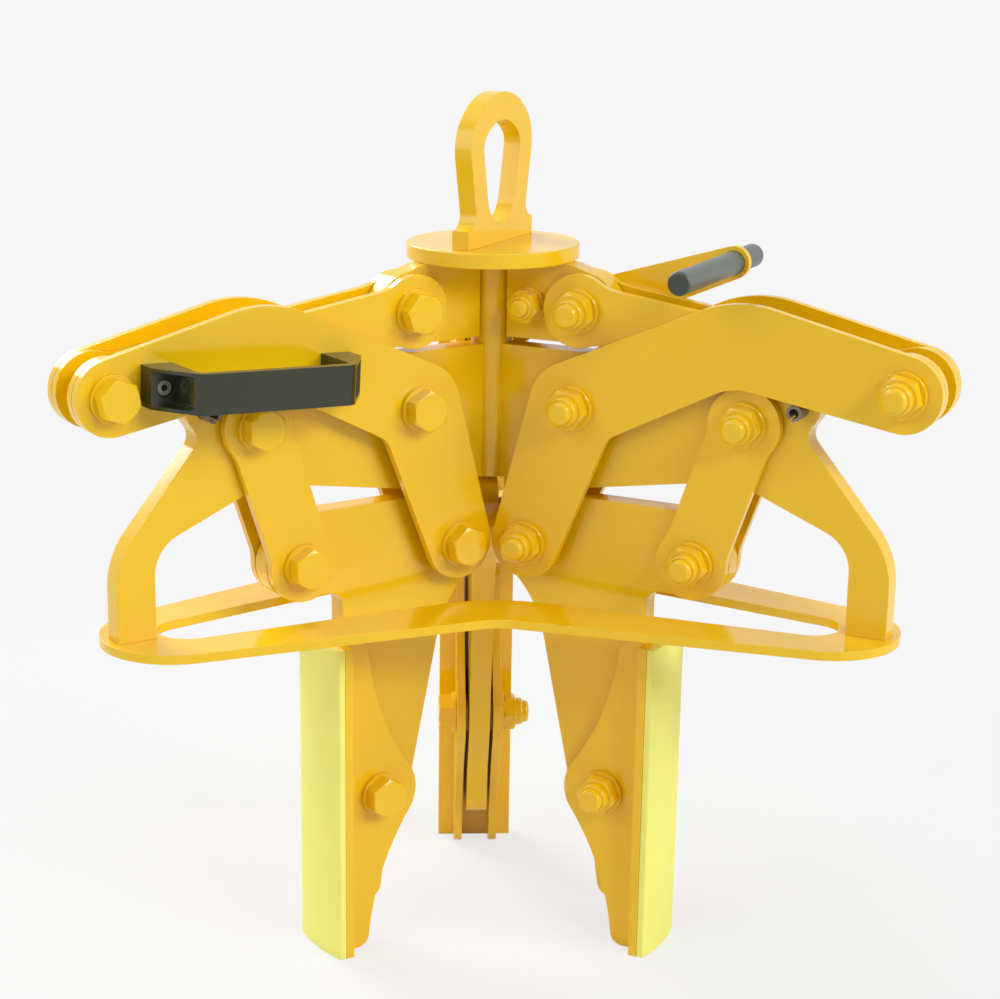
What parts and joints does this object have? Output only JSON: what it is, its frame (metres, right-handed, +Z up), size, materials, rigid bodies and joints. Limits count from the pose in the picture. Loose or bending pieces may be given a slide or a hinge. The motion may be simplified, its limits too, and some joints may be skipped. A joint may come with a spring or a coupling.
{
  "type": "internal lifting gripper",
  "caption": "Internal lifting gripper: pulling up its eye turns linked cranks that push padded shoes outwards against the inside of a pipe or ring, below a star-shaped foot plate.",
  "frame": {"origin": "seat of the crane hook in the lifting eye, on the axis of the centre tube", "axes": "+Z up along the tube, +Y along the rear arm, +X to the right of it seen from the front"},
  "size_m": [0.5554, 0.4916, 0.5702],
  "materials": {
    "yellow_paint": "semi-gloss",
    "bare_steel": "satin",
    "grip_bar": "satin",
    "black_plastic": "fine grain",
    "friction_pad": "matt"
  },
  "bodies": {
    "frame": {"star_plate": "yellow_paint", "centre_tube": "yellow_paint", "stop_pins": "bare_steel", "catch_pin": "bare_steel", "left_frame_web": "yellow_paint", "right_frame_web": "yellow_paint", "rear_frame_web": "yellow_paint"},
    "head": {"lifting_eye": "yellow_paint", "head_disc": "yellow_paint", "guide_rod": "bare_steel", "lever_stop_bolt": "yellow_paint", "left_head_web": "yellow_paint", "right_head_web": "yellow_paint", "rear_head_web": "yellow_paint"},
    "lever": {"lock_lever": "yellow_paint", "lever_grip": "grip_bar"},
    "left_crank": {"left_crank_plates": "yellow_paint", "left_crank_bushes": "bare_steel", "left_crank_bolts": "yellow_paint", "left_bow_handle": "black_plastic", "left_handle_screws": "bare_steel"},
    "left_upper_link": {"left_upper_links": "yellow_paint", "left_link_bolt": "yellow_paint"},
    "left_outer_link": {"left_outer_links": "yellow_paint", "left_outer_link_bolts": "yellow_paint"},
    "left_leg": {"left_leg_plate": "yellow_paint"},
    "left_shoe": {"left_shoe_cheeks": "yellow_paint", "left_shoe_plate": "yellow_paint", "left_shoe_pad": "friction_pad", "left_shoe_bolt": "yellow_paint"},
    "right_crank": {"right_crank_plates": "yellow_paint", "right_crank_bushes": "bare_steel", "right_crank_bolts": "yellow_paint"},
    "right_upper_link": {"right_upper_links": "yellow_paint", "right_link_bolt": "yellow_paint"},
    "right_outer_link": {"right_outer_links": "yellow_paint", "right_outer_link_bolts": "yellow_paint"},
    "right_leg": {"right_leg_plate": "yellow_paint"},
    "right_shoe": {"right_shoe_cheeks": "yellow_paint", "right_shoe_plate": "yellow_paint", "right_shoe_pad": "friction_pad", "right_shoe_bolt": "yellow_paint"},
    "rear_crank": {"rear_crank_plates": "yellow_paint", "rear_crank_bushes": "bare_steel", "rear_crank_bolts": "yellow_paint"},
    "rear_upper_link": {"rear_upper_links": "yellow_paint", "rear_link_bolt": "yellow_paint"},
    "rear_outer_link": {"rear_outer_links": "yellow_paint", "rear_outer_link_bolts": "yellow_paint"},
    "rear_leg": {"rear_leg_plate": "yellow_paint"},
    "rear_shoe": {"rear_shoe_cheeks": "yellow_paint", "rear_shoe_plate": "yellow_paint", "rear_shoe_pad": "friction_pad", "rear_shoe_bolt": "yellow_paint"}
  },
  "joints": [
    {"name": "head_lift", "type": "slide", "parent": "frame", "child": "head", "axis": [0, 0, 1], "range_m": [0, 0.103]},
    {"name": "left_crank_turn", "type": "hinge", "parent": "frame", "child": "left_crank", "pos_m": [-0.05889, -0.034, -0.1792], "axis": [-0.5, 0.866, 0], "range_deg": [0, 14.1]},
    {"name": "left_upper_link_turn", "type": "hinge", "parent": "left_crank", "child": "left_upper_link", "pos_m": [-0.24638, -0.14225, -0.1482], "axis": [-0.5, 0.866, 0], "range_deg": [-28.2, 0]},
    {"name": "left_outer_link_turn", "type": "hinge", "parent": "frame", "child": "left_outer_link", "pos_m": [-0.15848, -0.0915, -0.1792], "axis": [-0.5, 0.866, 0], "range_deg": [0, 14.1]},
    {"name": "left_leg_turn", "type": "hinge", "parent": "left_crank", "child": "left_leg", "pos_m": [-0.03161, -0.01825, -0.2742], "axis": [-0.5, 0.866, 0], "range_deg": [-14.1, 0]},
    {"name": "left_shoe_rock", "type": "hinge", "parent": "left_leg", "child": "left_shoe", "pos_m": [-0.08271, -0.04775, -0.4422], "axis": [-0.5, 0.866, 0], "range_deg": [-1.5, 1.5]},
    {"name": "right_crank_turn", "type": "hinge", "parent": "frame", "child": "right_crank", "pos_m": [0.05889, -0.034, -0.1792], "axis": [-0.5, -0.866, 0], "range_deg": [0, 14.1]},
    {"name": "right_upper_link_turn", "type": "hinge", "parent": "right_crank", "child": "right_upper_link", "pos_m": [0.24638, -0.14225, -0.1482], "axis": [-0.5, -0.866, 0], "range_deg": [-28.2, 0]},
    {"name": "right_outer_link_turn", "type": "hinge", "parent": "frame", "child": "right_outer_link", "pos_m": [0.15848, -0.0915, -0.1792], "axis": [-0.5, -0.866, 0], "range_deg": [0, 14.1]},
    {"name": "right_leg_turn", "type": "hinge", "parent": "right_crank", "child": "right_leg", "pos_m": [0.03161, -0.01825, -0.2742], "axis": [-0.5, -0.866, 0], "range_deg": [-14.1, 0]},
    {"name": "right_shoe_rock", "type": "hinge", "parent": "right_leg", "child": "right_shoe", "pos_m": [0.08271, -0.04775, -0.4422], "axis": [-0.5, -0.866, 0], "range_deg": [-1.5, 1.5]},
    {"name": "rear_crank_turn", "type": "hinge", "parent": "frame", "child": "rear_crank", "pos_m": [0, 0.068, -0.1792], "axis": [1, 0, 0], "range_deg": [0, 14.1]},
    {"name": "rear_upper_link_turn", "type": "hinge", "parent": "rear_crank", "child": "rear_upper_link", "pos_m": [0, 0.2845, -0.1482], "axis": [1, 0, 0], "range_deg": [-28.2, 0]},
    {"name": "rear_outer_link_turn", "type": "hinge", "parent": "frame", "child": "rear_outer_link", "pos_m": [0, 0.183, -0.1792], "axis": [1, 0, 0], "range_deg": [0, 14.1]},
    {"name": "rear_leg_turn", "type": "hinge", "parent": "rear_crank", "child": "rear_leg", "pos_m": [0, 0.0365, -0.2742], "axis": [1, 0, 0], "range_deg": [-14.1, 0]},
    {"name": "rear_shoe_rock", "type": "hinge", "parent": "rear_leg", "child": "rear_shoe", "pos_m": [0, 0.0955, -0.4422], "axis": [1, 0, 0], "range_deg": [-1.5, 1.5]},
    {"name": "lever_turn", "type": "hinge", "parent": "head", "child": "lever", "pos_m": [0.05889, -0.034, -0.1172], "axis": [-0.5, -0.866, 0], "range_deg": [0, 20]}
  ],
  "couplings": [
    {"joint": "left_crank_turn", "follows": "head_lift", "rad_per_m": 2.3745},
    {"joint": "left_upper_link_turn", "follows": "head_lift", "rad_per_m": -4.749},
    {"joint": "left_outer_link_turn", "follows": "head_lift", "rad_per_m": 2.3745},
    {"joint": "left_leg_turn", "follows": "head_lift", "rad_per_m": -2.3745},
    {"joint": "right_crank_turn", "follows": "head_lift", "rad_per_m": 2.3745},
    {"joint": "right_upper_link_turn", "follows": "head_lift", "rad_per_m": -4.749},
    {"joint": "right_outer_link_turn", "follows": "head_lift", "rad_per_m": 2.3745},
    {"joint": "right_leg_turn", "follows": "head_lift", "rad_per_m": -2.3745},
    {"joint": "rear_crank_turn", "follows": "head_lift", "rad_per_m": 2.3745},
    {"joint": "rear_upper_link_turn", "follows": "head_lift", "rad_per_m": -4.749},
    {"joint": "rear_outer_link_turn", "follows": "head_lift", "rad_per_m": 2.3745},
    {"joint": "rear_leg_turn", "follows": "head_lift", "rad_per_m": -2.3745}
  ]
}
